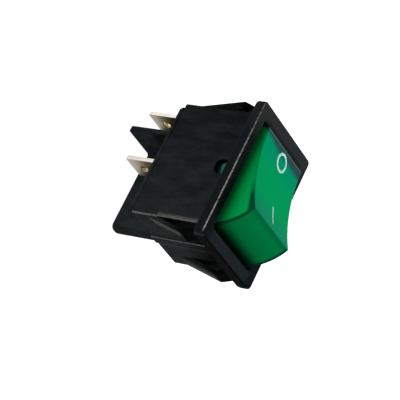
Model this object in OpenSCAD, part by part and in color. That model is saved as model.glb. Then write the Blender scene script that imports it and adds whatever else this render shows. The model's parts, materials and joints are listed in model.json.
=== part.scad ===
// Illuminated double-pole rocker switch for a panel cut-out.
// Frame: origin at the centre of the panel seat (underside of the bezel),
// +Z out of the panel towards the finger, +Y from the I end to the O end.
// The rocker is drawn with its O end pressed in (switched off).

/* [Bezel] */
// Length of the bezel along the rocking direction
bezel_l = 30.4; // [29:0.1:32]
// Width of the bezel
bezel_w = 21.6; // [21:0.1:23]
// Thickness of the bezel above the panel
bezel_t = 2.5; // [2:0.1:3]
// Corner radius of the bezel outline
bezel_r = 1; // [0.6:0.1:2]
// Chamfer along the front edges of the bezel
bezel_chamfer = 0.45; // [0.2:0.05:0.6]
// Chamfer along the long edges of the bezel's underside
bezel_undercut = 0.5; // [0.3:0.05:0.6]
// Length of the window that the rocker stands in
window_l = 24.5; // [24.4:0.1:24.8]
// Width of the window
window_w = 16.1; // [15.9:0.1:16.3]
// Corner radius of the window
window_r = 0.6; // [0.3:0.1:1]

/* [Body] */
// Length of the body behind the panel
body_l = 25.8; // [25.6:0.1:26.2]
// Width of the body
body_w = 19.2; // [19:0.1:19.6]
// Depth of the housing behind the panel
body_d = 16.2; // [15.5:0.1:16.6]
// Corner radius of the body
body_r = 0.5; // [0.3:0.1:0.8]
// Side wall thickness below the pivot bearings
side_wall = 1; // [0.9:0.1:1.2]
// Depth at which the side walls step back to their thin part
side_step_d = 6; // [5:0.1:7]
// Width of the locating rib on each end
rib_w = 2.4; // [2:0.1:4]
// Distance over the two locating ribs
rib_l = 26.5; // [26:0.1:26.8]

/* [Snap wings] */
// Width of each wing
wing_w = 3.3; // [2.8:0.1:3.6]
// Thickness of the wing's tongue
wing_t = 0.85; // [0.7:0.05:0.95]
// Distance from the middle of the body to a wing's outer edge
wing_x = 9.2; // [9:0.1:9.6]
// Depth of the wing's root
wing_root_d = 13; // [12:0.1:14]
// Distance over the wing tips, relaxed
wing_span = 30.5; // [30:0.1:31]
// Depth of the wing tips
wing_tip_d = 3.4; // [3:0.1:4]
// Distance over the free ends of the wings
wing_end_span = 28.8; // [28.4:0.1:29.2]
// Depth of the free ends of the wings
wing_end_d = 0.8; // [0.4:0.1:1]
// Depth of the relief in the end wall behind each wing
wing_relief = 0.2; // [0.15:0.05:0.35]

/* [Rocker] */
// Width of the rocker
rocker_w = 15.5; // [15.3:0.1:15.6]
// Radius of the rocker's end faces about the pivot
rocker_r = 12; // [11.8:0.1:12]
// Half length of the rocker's top, tip to tip
rocker_tip_y = 9.1; // [8.8:0.05:9.4]
// Hollow of the dished top between the tips
dish_sag = 1.1; // [0.9:0.1:1.4]
// Rounding along the long top edges
rocker_edge = 0.35; // [0.2:0.05:0.5]
// Thickness of the rocker's skin
rocker_wall = 1.1; // [1:0.1:1.3]
// Depth of the skirt below the pivot
skirt_d = 2.2; // [2:0.1:2.4]
// Tilt of the rocker at each end of its throw
rocker_tilt = 16.5; // [15.5:0.1:17]
// Depth of the pivot behind the panel
pivot_d = 1.2; // [1.1:0.05:1.4]
// Diameter of the pivot holes in the side walls
pivot_hole = 2.9; // [2.8:0.05:3]
// Running clearance of the trunnions, on the radius
pivot_play = 0.05; // [0.03:0.01:0.08]
// Distance over the trunnion ends
trunnion_span = 17.2; // [17:0.1:17.8]

/* [Terminals] */
// Width of a quick-connect tab
tab_w = 6.3; // [6.2:0.05:6.4]
// Thickness of a quick-connect tab
tab_t = 0.8; // [0.75:0.05:0.85]
// Distance from the middle to the centre of each row of tabs
row_x = 4.6; // [4.5:0.05:4.7]
// Place of the common tabs along the switch
common_y = -0.1; // [-0.4:0.1:0]
// Place of the load tabs along the switch
load_y = 10.65; // [10.4:0.05:10.8]
// Depth of the tab tips behind the panel
tab_tip_d = 25.7; // [25:0.1:26]
// Diameter of the detent hole in each tab
tab_hole = 1.7; // [1.6:0.05:1.8]
// Distance from the tab's tip to the detent hole
tab_hole_in = 3.1; // [2.9:0.1:3.4]
// Bevel at the corners of the tab's tip
tab_bevel = 0.4; // [0.3:0.1:1]

/* [Base] */
// Depth of the base's back face behind the panel
base_d = 17.1; // [16.8:0.1:17.4]
// Length of the base's back flange
flange_l = 23.6; // [22.8:0.1:24]
// Width of the base's back flange
flange_w = 19.2; // [18:0.1:19.2]
// Chamfer along the flange's back ends
flange_taper = 0.5; // [0.2:0.1:0.8]
// Depth of the base's floor, where the mechanism stands
floor_d = 12.5; // [12:0.1:13]
// Depth of the barrier's back edge
barrier_d = 27.1; // [26.6:0.1:27.6]
// Thickness of the barrier between the two poles
barrier_t = 0.75; // [0.6:0.05:1]
// Rounding of the barrier's back corners
barrier_r = 2; // [1:0.1:2.4]
// Place of the cross fin between common and load tabs
fin_y = 5.65; // [5.4:0.05:5.9]
// Thickness of the cross fin
fin_t = 0.85; // [0.7:0.05:1]
// Chamfer at the cross fin's back corners
fin_chamfer = 0.9; // [0.6:0.1:1.4]
// Fillet between the cross fin and the barrier
fin_fillet = 0.6; // [0.3:0.1:1]

/* [Contacts] */
// Distance from the pivot to the plunger's tip
plunger_reach = 5.2; // [5:0.1:5.3]
// Diameter of the plungers
plunger_d = 2.2; // [2:0.1:2.3]
// Outer diameter of the posts that guide the plungers
post_d = 3.5; // [3.3:0.1:3.6]
// Thickness of the contact blades
blade_t = 0.5; // [0.4:0.05:0.6]
// Width of the contact blades
blade_w = 3; // [2.8:0.1:3]
// Rise of each arm of a blade, and its tilt at each end of the throw
blade_rise = 8; // [7:0.5:8]
// Length of the arm that carries the moving contact
blade_arm = 8.4; // [8:0.1:8.5]
// Length of the free arm
blade_tail = 5.6; // [5:0.1:6]
// Diameter of the silver contacts
contact_d = 2.4; // [2.2:0.1:2.6]
// Thickness of the silver contacts
contact_t = 0.6; // [0.5:0.05:0.7]
// Distance of the contacts from the pivot line
contact_y = 7; // [6.8:0.1:7.2]

/* [Lamp] */
// Diameter of the neon lamp's bulb
lamp_d = 4.2; // [4:0.1:4.4]
// Depth of the bulb's tip behind the panel
lamp_top_d = 2.4; // [2:0.1:3]
// Diameter of the lamp's wires
wire_d = 0.5; // [0.4:0.05:0.6]

/* [Hidden] */
$fn = 64;
eps = 0.01;
// How far a cut runs past the faces that it opens
over = 1;

// Clearance of the base in the housing
base_fit = 0.05;
// Gap that the switch's own touching pieces keep, so that they can pass
contact_gap = 0.03;
plunger_gap = 0.045;
// Clearance on the diameter of rivet shanks and lamp wires
shank_fit = 0.04;
// Running clearance of a plunger in its post, on the radius
plunger_play = 0.05;

cavity_w = body_w - 2 * side_wall;

// Wing section, in the Y-Z plane of the O end
wing_root_y = body_l / 2;
wing_tip_y = wing_span / 2;
wing_end_y = wing_end_span / 2;
wing_slope = (wing_tip_y - wing_root_y) / (wing_root_d - wing_tip_d);
relief_y = wing_root_y - wing_relief;
wing_gap_d = wing_tip_d + (wing_tip_y - wing_t - relief_y) / wing_slope;
relief_over = 0.3;

// Latch that holds the base in the housing
latch_l = 8;
latch_out = 0.25;
latch_d = 14.2;
latch_h = 1;
latch_room = 0.05;

// Rocker, about its own pivot
tip_z = sqrt(rocker_r * rocker_r - rocker_tip_y * rocker_tip_y);
dish_r = (rocker_tip_y * rocker_tip_y + dish_sag * dish_sag) / (2 * dish_sag);
dish_axis_z = tip_z - dish_sag + dish_r;
top_t = rocker_wall + 0.1;
trunnion_d = pivot_hole - 2 * pivot_play;
post_end = -3.5;
post_sink = 0.4;
post_top = tip_z - dish_sag - top_t + post_sink;
bore_top = 3;

// Contact set
blade_axis_z = -pivot_d - plunger_reach - plunger_gap - blade_t / cos(blade_rise);
pad_top = blade_axis_z - contact_gap;
pad_half = 1.6;
ear_t = 0.3;
ear_l = 1.4;
ear_h = 1.2;
ear_play = 0.05;
ear_room = 0.25;
leg_w = blade_w;
fixed_top = blade_axis_z - contact_t - contact_gap;
tongue_top = fixed_top - contact_t;
tongue_start = contact_y - pad_half;
rivet_d = 1.2;
rivet_head_d = 1.9;
rivet_head_t = 0.3;
tab_lead = 0.9;
tab_tip_t = 0.6;

// Plunger and its spring, about the rocker's pivot
plunger_top = -1.5;
plunger_dome = 1.8;
spring_wire = 0.3;
spring_d = 2;
spring_turns = 6;
spring_gap = 0.05;
spring_steps = 12;
spring_sides = 6;

// Lamp and its wires
lamp_wall = 0.35;
lamp_dome = 2.6;
lamp_seat_d = 11.3;
lamp_seal_t = 1.4;
electrode_x = 0.6;
electrode_top = -5.6;
electrode_end = -11.6;
well_t = 0.7;
well_h = 3;
well_play = 0.1;
well_slot = 2.4;
wire_lift = 0.05;
wire_z = -floor_d + wire_d / 2 + wire_lift;
wire_sides = 8;
lead_end_x = 3.7;
resistor_d = 1.8;
resistor_l = 4;
resistor_y = 5.6;
resistor_x = 1.2;
resistor_z = -11.3;
lead_path = [[-electrode_x, 0, electrode_end], [-electrode_x, 0, -11.9], [-electrode_x, 0.4, wire_z],
             [-electrode_x, 3, wire_z], [-2.2, 6.5, wire_z], [-lead_end_x, 9.2, wire_z],
             [-lead_end_x, load_y - tab_t / 2, wire_z]];
resistor_in_path = [[electrode_x, 0, electrode_end], [electrode_x, 0, -11.9], [electrode_x, 0.5, wire_z],
                    [electrode_x, 2, wire_z], [resistor_x, 3, resistor_z],
                    [resistor_x, resistor_y, resistor_z]];
resistor_out_path = [[resistor_x, resistor_y, resistor_z], [resistor_x, 8, resistor_z], [2.4, 8.8, -11.8],
                     [lead_end_x, 9.5, wire_z], [lead_end_x, load_y - tab_t / 2, wire_z]];

black = [0.13, 0.13, 0.14];
black_base = [0.16, 0.16, 0.17];
green = [0, 0.57, 0.3, 0.85];
natural_nylon = [0.9, 0.88, 0.82];
spring_steel = [0.6, 0.6, 0.62];
copper_alloy = [0.78, 0.5, 0.3];
silver = [0.85, 0.85, 0.86];
tinned_brass = [0.8, 0.74, 0.6];
glass = [0.8, 0.85, 0.85, 0.4];
nickel = [0.7, 0.7, 0.68];
tan_ceramic = [0.76, 0.66, 0.5];

// Rectangle w by l in X and Y, with round corners
module rounded_rect(w, l, r) {
    square([w, l - 2 * r], center = true);
    square([w - 2 * r, l], center = true);
    for (x = [-1, 1], y = [-1, 1])
        translate([x * (w / 2 - r), y * (l / 2 - r)])
            circle(r);
}

// Outline in Y and Z, drawn out along X over a centred width
module along_x(width) {
    rotate([90, 0, 90])
        linear_extrude(width, center = true)
            children();
}

// Outline in X and Z, drawn out along Y over a centred length
module along_y(length) {
    rotate([90, 0, 0])
        linear_extrude(length, center = true)
            children();
}

// Everything that turns with the rocker is drawn about the pivot and tilted here
module at_rocker() {
    translate([0, 0, -pivot_d])
        rotate([-rocker_tilt, 0, 0])
            children();
}

// A blade and what it carries, drawn about its rocking edge, tilted to the open side
module at_blade(side) {
    translate([side * row_x, 0, blade_axis_z])
        rotate([blade_rise, 0, 0])
            children();
}

function unit(v) = v / norm(v);
function tangent(path, i) =
    unit(path[min(i + 1, len(path) - 1)] - path[max(i - 1, 0)]);
function ring(path, i, r, sides, up) =
    let (t = tangent(path, i), a = unit(cross(up, t)), b = cross(t, a))
    [for (k = [0 : sides - 1]) path[i] + r * (cos(360 * k / sides) * a + sin(360 * k / sides) * b)];

// Round wire along a path that never runs along the vector up
module swept_wire(path, d, sides, up) {
    n = len(path);
    points = [for (i = [0 : n - 1]) each ring(path, i, d / 2, sides, up)];
    walls = [for (i = [0 : n - 2], k = [0 : sides - 1])
        let (a = i * sides + k, b = i * sides + (k + 1) % sides)
        each [[a, a + sides, b + sides], [a, b + sides, b]]];
    start_cap = [for (k = [0 : sides - 1]) k];
    end_cap = [for (k = [sides - 1 : -1 : 0]) (n - 1) * sides + k];
    polyhedron(points, concat(walls, [start_cap, end_cap]));
}

// Bezel

module bezel_section(span) {
    c = bezel_chamfer;
    polygon([[-span / 2, 0], [span / 2, 0], [span / 2, bezel_t - c], [span / 2 - c, bezel_t],
             [-span / 2 + c, bezel_t], [-span / 2, bezel_t - c]]);
}

module bezel_undercuts() {
    half = bezel_w / 2;
    u = bezel_undercut;
    for (x = [0, 1])
        mirror([x, 0, 0])
            along_y(bezel_l + over)
                polygon([[half - u - over, -over], [half + over, -over], [half + over, u + over]]);
}

module bezel_plate() {
    difference() {
        intersection() {
            linear_extrude(bezel_t)
                rounded_rect(bezel_w, bezel_l, bezel_r);
            along_y(bezel_l + over)
                bezel_section(bezel_w);
            along_x(bezel_w + over)
                bezel_section(bezel_l);
        }
        bezel_undercuts();
    }
}

// Spring tongue on an end wall: it leaves the wall at its root, leans out to
// its tip and turns back in towards the bezel, where its end is free
module wing() {
    polygon([[relief_y - wing_relief, -wing_root_d], [wing_root_y, -wing_root_d],
             [wing_tip_y, -wing_tip_d], [wing_end_y, -wing_end_d],
             [wing_end_y - wing_t, -wing_end_d], [wing_tip_y - wing_t, -wing_tip_d],
             [relief_y, -wing_gap_d], [relief_y - wing_relief, -wing_gap_d]]);
}

module wing_places() {
    for (x = [-1, 1], y = [0, 1])
        mirror([0, y, 0])
            translate([x * (wing_x - wing_w / 2), 0, 0])
                children();
}

module body_shell() {
    difference() {
        union() {
            translate([0, 0, -body_d])
                linear_extrude(body_d + eps)
                    rounded_rect(body_w, body_l, body_r);
            translate([0, 0, -body_d / 2])
                cube([rib_w, rib_l, body_d + eps], center = true);
        }
        for (x = [-1, 1], y = [-1, 1])
            translate([x * (wing_x - wing_w - relief_over), y * relief_y, -wing_gap_d])
                mirror([x < 0 ? 1 : 0, 0, 0])
                    mirror([0, y < 0 ? 1 : 0, 0])
                        cube([body_w, body_l, wing_gap_d]);
    }
}

module housing() {
    color(black)
        difference() {
            union() {
                bezel_plate();
                body_shell();
                wing_places()
                    along_x(wing_w)
                        wing();
            }
            translate([0, 0, -body_d - over])
                linear_extrude(body_d + bezel_t + 2 * over)
                    rounded_rect(window_w, window_l, window_r);
            translate([0, 0, -body_d - over])
                linear_extrude(body_d + over - side_step_d)
                    rounded_rect(cavity_w, window_l, window_r);
            translate([0, 0, -pivot_d])
                rotate([0, 90, 0])
                    cylinder(d = pivot_hole, h = bezel_w + over, center = true);
            translate([0, 0, -latch_d])
                cube([cavity_w + 2 * (latch_out + latch_room), latch_l + 2 * latch_room,
                      latch_h + 2 * latch_room], center = true);
        }
}

// Base

module base_flange() {
    half = flange_l / 2;
    c = flange_taper;
    along_x(flange_w)
        polygon([[-half, -body_d], [half, -body_d], [half, -base_d + c], [half - c, -base_d],
                 [-half + c, -base_d], [-half, -base_d + c]]);
}

module barrier() {
    h = barrier_d - body_d;
    along_x(barrier_t)
        translate([0, -body_d - h / 2]) {
            rounded_rect(rib_l, h, barrier_r);
            translate([-rib_l / 2, 0])
                square([rib_l, h / 2]);
        }
}

module cross_fin() {
    half = flange_w / 2;
    translate([0, fin_y, 0])
        along_y(fin_t)
            polygon([[-half, -body_d - eps], [half, -body_d - eps],
                     [half, -barrier_d + fin_chamfer], [half - fin_chamfer, -barrier_d],
                     [-half + fin_chamfer, -barrier_d], [-half, -barrier_d + fin_chamfer]]);
}

module fin_fillets() {
    r = fin_fillet;
    for (x = [-1, 1], y = [-1, 1])
        translate([x * (barrier_t / 2 - eps), fin_y + y * (fin_t / 2 - eps), -barrier_d])
            mirror([x < 0 ? 1 : 0, 0, 0])
                mirror([0, y < 0 ? 1 : 0, 0])
                    linear_extrude(barrier_d - base_d + eps)
                        difference() {
                            square(r + eps);
                            translate([r + eps, r + eps])
                                circle(r);
                        }
}

module lamp_well() {
    translate([0, 0, -floor_d - eps])
        cylinder(d = lamp_d + 2 * (well_t + well_play), h = floor_d - lamp_seat_d + well_h);
}

module base_latches() {
    half = cavity_w / 2 - base_fit;
    low = -latch_d - latch_h / 2;
    for (x = [0, 1])
        mirror([x, 0, 0])
            along_y(latch_l)
                polygon([[half - eps, low], [half + latch_out, low],
                         [half + base_fit / 2, low + latch_h], [half - eps, low + latch_h]]);
}

module base() {
    color(black_base)
        difference() {
            union() {
                translate([0, 0, -body_d - eps])
                    linear_extrude(body_d - floor_d + eps)
                        rounded_rect(cavity_w - 2 * base_fit, window_l - 2 * base_fit, window_r);
                base_flange();
                barrier();
                cross_fin();
                fin_fillets();
                lamp_well();
                base_latches();
            }
            for (x = [-1, 1], y = [common_y, load_y])
                translate([x * row_x, y, -floor_d])
                    cube([tab_w + 2 * base_fit, tab_t, 2 * (base_d - floor_d) + over], center = true);
            translate([0, 0, -lamp_seat_d])
                cylinder(d = lamp_d + 2 * well_play, h = well_h + over);
            translate([-well_slot / 2, -well_slot / 4, -floor_d])
                cube([well_slot, lamp_d + over, floor_d - lamp_seat_d + eps]);
        }
}

// Rocker

module dish_section(skin) {
    half = rocker_w / 2 - (skin > 0 ? rocker_wall : 0);
    r = dish_r + skin;
    e = rocker_edge;
    translate([r + e, -half])
        square([2 * rocker_r, 2 * half]);
    translate([r, -half + e])
        square([2 * rocker_r, 2 * (half - e)]);
    for (x = [-1, 1])
        translate([r + e, x * (half - e)])
            circle(e);
}

// Block bounded by the round end faces and the dished top
module rocker_block(skin, bottom) {
    wall = skin > 0 ? rocker_wall : 0;
    intersection() {
        rotate([0, 90, 0])
            cylinder(r = rocker_r - wall, h = rocker_w, center = true, $fn = 128);
        translate([0, 0, dish_axis_z])
            rotate([0, 90, 0])
                rotate_extrude($fn = 180)
                    dish_section(skin);
        translate([-rocker_w, -rocker_r, -bottom])
            cube([2 * rocker_w, 2 * rocker_r, 2 * rocker_r]);
    }
}

module rocker() {
    color(green)
        at_rocker()
            difference() {
                union() {
                    difference() {
                        rocker_block(0, skirt_d);
                        rocker_block(top_t, skirt_d + over);
                    }
                    for (x = [-1, 1]) {
                        translate([x * row_x, 0, post_end])
                            cylinder(d = post_d, h = post_top - post_end);
                        translate([x * (rocker_w / 2 - rocker_wall / 2), 0, 0])
                            rotate([0, x * 90, 0])
                                cylinder(d = trunnion_d, h = (trunnion_span - rocker_w + rocker_wall) / 2);
                    }
                }
                for (x = [-1, 1])
                    translate([x * row_x, 0, post_end - over])
                        cylinder(d = plunger_d + 2 * plunger_play, h = bore_top - post_end + over);
            }
}

// Contact set of one pole; side is -1 or 1

module plunger(side) {
    color(natural_nylon)
        at_rocker()
            translate([side * row_x, 0, 0])
                rotate_extrude()
                    intersection() {
                        translate([0, -plunger_reach])
                            square([plunger_d / 2, plunger_reach + plunger_top]);
                        union() {
                            translate([0, plunger_dome - plunger_reach])
                                circle(plunger_dome);
                            translate([0, plunger_dome - plunger_reach])
                                square([plunger_d, plunger_reach]);
                        }
                    }
}

module plunger_spring(side) {
    r = (spring_d - spring_wire) / 2;
    low = plunger_top + spring_gap + spring_wire / 2;
    high = bore_top - spring_gap - spring_wire / 2;
    n = spring_turns * spring_steps;
    path = [for (i = [0 : n])
        [r * cos(360 * i / spring_steps), r * sin(360 * i / spring_steps), low + (high - low) * i / n]];
    color(spring_steel)
        at_rocker()
            translate([side * row_x, 0, 0])
                swept_wire(path, spring_wire, spring_sides, [0, 0, 1]);
}

module blade_section() {
    c = cos(blade_rise);
    s = sin(blade_rise);
    t = blade_t;
    polygon([[-blade_tail * c, blade_tail * s], [0, 0], [blade_arm * c, blade_arm * s],
             [blade_arm * c - t * s, blade_arm * s + t * c], [0, t / c],
             [-blade_tail * c + t * s, blade_tail * s + t * c]]);
}

module contact_blade(side) {
    color(copper_alloy)
        at_blade(side)
            difference() {
                along_x(blade_w)
                    blade_section();
                for (x = [-1, 1])
                    translate([x * blade_w / 2, 0, 0])
                        cube([2 * (ear_t + ear_play), ear_l + 2 * ear_room, 2 * (blade_t + over)],
                             center = true);
                rotate([blade_rise, 0, 0])
                    translate([0, contact_y, -over])
                        cylinder(d = rivet_d + shank_fit, h = blade_t + 2 * over);
            }
}

module moving_contact(side) {
    color(silver)
        at_blade(side)
            rotate([blade_rise, 0, 0])
                translate([0, contact_y, 0]) {
                    translate([0, 0, -contact_t])
                        cylinder(d = contact_d, h = contact_t);
                    translate([0, 0, -eps])
                        cylinder(d = rivet_d, h = blade_t + 2 * eps);
                    translate([0, 0, blade_t])
                        cylinder(d = rivet_head_d, h = rivet_head_t);
                }
}

// Quick-connect tab with bevelled corners, thinned tip and detent hole, up to the base's floor
module tab() {
    half = tab_w / 2;
    difference() {
        intersection() {
            along_y(tab_t)
                polygon([[-half, -floor_d], [half, -floor_d], [half, -tab_tip_d + tab_bevel],
                         [half - tab_bevel, -tab_tip_d], [-half + tab_bevel, -tab_tip_d],
                         [-half, -tab_tip_d + tab_bevel]]);
            along_x(tab_w)
                polygon([[-tab_t / 2, -floor_d], [tab_t / 2, -floor_d], [tab_t / 2, -tab_tip_d + tab_lead],
                         [tab_tip_t / 2, -tab_tip_d], [-tab_tip_t / 2, -tab_tip_d],
                         [-tab_t / 2, -tab_tip_d + tab_lead]]);
        }
        translate([0, 0, -tab_tip_d + tab_hole_in])
            rotate([90, 0, 0])
                cylinder(d = tab_hole, h = 2 * tab_t, center = true);
    }
}

module common_terminal(side) {
    leg_top = pad_top - tab_t;
    color(tinned_brass)
        translate([side * row_x, 0, 0]) {
            translate([0, common_y, 0])
                tab();
            translate([-leg_w / 2, common_y - tab_t / 2, -floor_d - eps])
                cube([leg_w, tab_t, floor_d + leg_top + 2 * eps]);
            translate([-leg_w / 2, -pad_half, leg_top])
                cube([leg_w, 2 * pad_half, tab_t]);
            for (x = [0, 1])
                mirror([x, 0, 0])
                    translate([leg_w / 2 - ear_t, -ear_l / 2, leg_top])
                        cube([ear_t, ear_l, tab_t + ear_h]);
        }
}

module load_terminal(side) {
    tongue_z = tongue_top - tab_t;
    color(tinned_brass)
        translate([side * row_x, 0, 0]) {
            translate([0, load_y, 0])
                tab();
            translate([-leg_w / 2, load_y - tab_t / 2, -floor_d - eps])
                cube([leg_w, tab_t, floor_d + tongue_top + eps]);
            difference() {
                translate([-leg_w / 2, tongue_start, tongue_z])
                    cube([leg_w, load_y - tongue_start, tab_t]);
                translate([0, contact_y, tongue_z - over])
                    cylinder(d = rivet_d + shank_fit, h = tab_t + 2 * over);
            }
        }
}

module fixed_contact(side) {
    color(silver)
        translate([side * row_x, contact_y, tongue_top]) {
            cylinder(d = contact_d, h = contact_t);
            translate([0, 0, -tab_t - eps])
                cylinder(d = rivet_d, h = tab_t + 2 * eps);
            translate([0, 0, -tab_t - rivet_head_t])
                cylinder(d = rivet_head_d, h = rivet_head_t);
        }
}

// Lamp

module bulb_section(r, dome, low, high) {
    translate([0, low])
        square([r, high - dome - low]);
    intersection() {
        translate([0, high - dome - eps])
            square([r, dome + eps]);
        translate([0, high - dome])
            circle(dome);
    }
}

module lamp_bulb() {
    color(glass)
        difference() {
            rotate_extrude()
                difference() {
                    bulb_section(lamp_d / 2, lamp_dome, -lamp_seat_d, -lamp_top_d);
                    bulb_section(lamp_d / 2 - lamp_wall, lamp_dome - lamp_wall,
                                 -lamp_seat_d + lamp_seal_t, -lamp_top_d - lamp_wall);
                }
            for (x = [-1, 1])
                translate([x * electrode_x, 0, -lamp_seat_d - over])
                    cylinder(d = wire_d + shank_fit, h = lamp_seal_t + 2 * over);
        }
}

module lamp_electrodes() {
    color(nickel)
        for (x = [-1, 1])
            translate([x * electrode_x, 0, electrode_end])
                cylinder(d = wire_d, h = electrode_top - electrode_end);
}

module lamp_resistor() {
    color(tan_ceramic) {
        translate([resistor_x, resistor_y, resistor_z])
            rotate([90, 0, 0])
                cylinder(d = resistor_d, h = resistor_l, center = true);
        swept_wire(resistor_in_path, wire_d, wire_sides, [1, 0, 0]);
        swept_wire(resistor_out_path, wire_d, wire_sides, [0, 0, 1]);
    }
}

module lamp_lead_left() {
    color(nickel)
        swept_wire(lead_path, wire_d, wire_sides, [1, 0, 0]);
}

housing();
base();
rocker();
plunger(-1);  // plunger_left
plunger(1);  // plunger_right
plunger_spring(-1);  // plunger_spring_left
plunger_spring(1);  // plunger_spring_right
contact_blade(-1);  // contact_blade_left
contact_blade(1);  // contact_blade_right
moving_contact(-1);  // moving_contact_left
moving_contact(1);  // moving_contact_right
common_terminal(-1);  // common_terminal_left
common_terminal(1);  // common_terminal_right
load_terminal(-1);  // load_terminal_left
load_terminal(1);  // load_terminal_right
fixed_contact(-1);  // fixed_contact_left
fixed_contact(1);  // fixed_contact_right
lamp_bulb();
lamp_electrodes();
lamp_resistor();
lamp_lead_left();
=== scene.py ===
import json
import math

import bmesh
import bpy
from mathutils import Matrix, Vector

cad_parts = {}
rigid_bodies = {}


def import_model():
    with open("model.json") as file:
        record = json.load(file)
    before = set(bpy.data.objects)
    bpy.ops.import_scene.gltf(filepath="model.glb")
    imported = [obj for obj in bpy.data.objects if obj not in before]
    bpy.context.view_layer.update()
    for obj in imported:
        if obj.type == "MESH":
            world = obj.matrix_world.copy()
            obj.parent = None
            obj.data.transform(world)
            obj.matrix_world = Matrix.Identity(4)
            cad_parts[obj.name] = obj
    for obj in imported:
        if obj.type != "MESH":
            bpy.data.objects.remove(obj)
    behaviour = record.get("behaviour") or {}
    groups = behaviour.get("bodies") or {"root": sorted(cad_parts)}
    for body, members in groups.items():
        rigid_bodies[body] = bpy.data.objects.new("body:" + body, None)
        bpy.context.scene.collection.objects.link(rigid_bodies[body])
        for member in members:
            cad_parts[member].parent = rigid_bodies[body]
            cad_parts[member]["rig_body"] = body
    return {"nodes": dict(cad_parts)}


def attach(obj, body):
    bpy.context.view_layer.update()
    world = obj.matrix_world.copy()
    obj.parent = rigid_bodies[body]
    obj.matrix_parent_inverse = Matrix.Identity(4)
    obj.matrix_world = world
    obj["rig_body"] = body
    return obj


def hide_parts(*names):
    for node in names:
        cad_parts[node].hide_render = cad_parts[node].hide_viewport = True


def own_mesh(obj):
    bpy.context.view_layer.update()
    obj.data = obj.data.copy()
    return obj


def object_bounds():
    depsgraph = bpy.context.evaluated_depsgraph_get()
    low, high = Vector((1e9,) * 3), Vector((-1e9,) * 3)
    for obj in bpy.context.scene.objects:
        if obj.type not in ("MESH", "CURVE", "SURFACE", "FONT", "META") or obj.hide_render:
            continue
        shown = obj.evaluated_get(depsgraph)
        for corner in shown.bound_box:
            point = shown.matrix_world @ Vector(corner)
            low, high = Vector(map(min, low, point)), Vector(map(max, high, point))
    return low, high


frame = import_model()
cad_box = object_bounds()

# Housing
# Bezel, body and four snap wings, moulded in one piece from black glass-filled nylon.
# The mould was spark-eroded, so its faces are matt with a fine grain, and its edges are a little rounded.
MM = 0.001  # sizes are in millimetres, and each finished mesh is scaled to metres
CORNER_STEPS = 6
BEZEL = (21.6, 30.4)
BEZEL_CORNER = 1.0
BEZEL_FRONT = 2.5
BEZEL_EDGE = 0.45
BEZEL_UNDERCUT = 0.5
BODY = (19.2, 25.8)
BODY_CORNER = 0.5
BODY_BACK = -16.2
WINDOW = (16.1, 24.5)
CAVITY = (17.2, 24.6)
WINDOW_CORNER = 0.6
WINDOW_CHAMFER = 0.5
CAVITY_STEP = -6
MOULD_EDGE = 0.12
MOULD_STEPS = 3
RIB_WIDTH = 2.4
RIB_OUTER = 13.25
RIB_ROOT = 12.5
RIB_BACK = -16.15
RIB_SUNK = 0.3
PIVOT = -1.2
PIVOT_HOLE = 2.9
PIVOT_LEAD = 3.3
PIVOT_LEAD_IN = 9.0
LATCH_POCKET = ((-8.95, -4.05, -14.75), (8.95, 4.05, -13.65))
WING_WIDTH = 3.3
WING_OUTER = 9.2
WING_THICK = 0.92
WING_ROOT = (12.9, -13.0)
WING_TIP = (15.25, -3.4)
WING_END = (14.4, -0.8)
WING_SUNK = 12.5
RELIEF_Y = 12.7
RELIEF_SIDE = 5.6
RELIEF_TOP = 0.02
WING_LEAN = (WING_TIP[0] - WING_ROOT[0]) / (WING_TIP[1] - WING_ROOT[1])
WING_CROOK = WING_TIP[1] + (RELIEF_Y - WING_TIP[0] + WING_THICK) / WING_LEAN
FLAT_EDGE = math.radians(10)
NO_SIZE = 0.002
CUT_PAST = 1
WING_FOOT = 0.1


def outline(bm, size, corner, height):
    """Draws a rectangle with round corners and returns its edges."""
    drawn = set(bm.edges)
    flat = bmesh.ops.create_grid(bm, x_segments=1, y_segments=1, size=0.5)["verts"]
    bmesh.ops.scale(bm, vec=(size[0], size[1], 1), verts=flat)
    bmesh.ops.translate(bm, vec=(0, 0, height), verts=flat)
    bmesh.ops.bevel(bm, geom=flat, offset=corner, offset_type="OFFSET", segments=CORNER_STEPS, profile=0.5,
                    affect="VERTICES", clamp_overlap=False, material=-1)
    edges = [e for e in bm.edges if e not in drawn]
    bmesh.ops.delete(bm, geom=[edges[0].link_faces[0]], context="FACES_ONLY")
    return edges


def rounded(bm, edges, radius, steps=MOULD_STEPS):
    """Rounds some edges of a shape."""
    bmesh.ops.bevel(bm, geom=edges, offset=radius, offset_type="OFFSET", segments=steps, profile=0.5,
                    affect="EDGES", clamp_overlap=False, material=-1)


def block(low, high, radius=0):
    """A box between two corners, with its edges rounded if a radius is given."""
    bm = bmesh.new()
    corners = bmesh.ops.create_cube(bm, size=1)["verts"]
    low, high = Vector(low), Vector(high)
    bmesh.ops.scale(bm, vec=high - low, verts=corners)
    bmesh.ops.translate(bm, vec=(low + high) / 2, verts=corners)
    if radius:
        rounded(bm, bm.edges[:], radius)
    return bm


def drum(diameter, low, high, across=False, x=0, z=0, sides=48):
    """A cylinder from low to high along Z, or along X if it lies across."""
    bm = bmesh.new()
    turn = Matrix.Rotation(math.pi / 2, 4, "Y") if across else Matrix.Identity(4)
    bmesh.ops.create_cone(bm, cap_ends=True, segments=sides, radius1=diameter / 2, radius2=diameter / 2,
                          depth=high - low, matrix=Matrix.Translation((x, 0, z)) @ turn
                          @ Matrix.Translation((0, 0, (low + high) / 2)))
    return bm


def drawn_out(bm, faces, width):
    """Draws flat faces out along X into a solid."""
    drawn = bmesh.ops.extrude_face_region(bm, geom=faces)["geom"]
    bmesh.ops.translate(bm, vec=(width, 0, 0), verts=[v for v in drawn if isinstance(v, bmesh.types.BMVert)])


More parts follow.
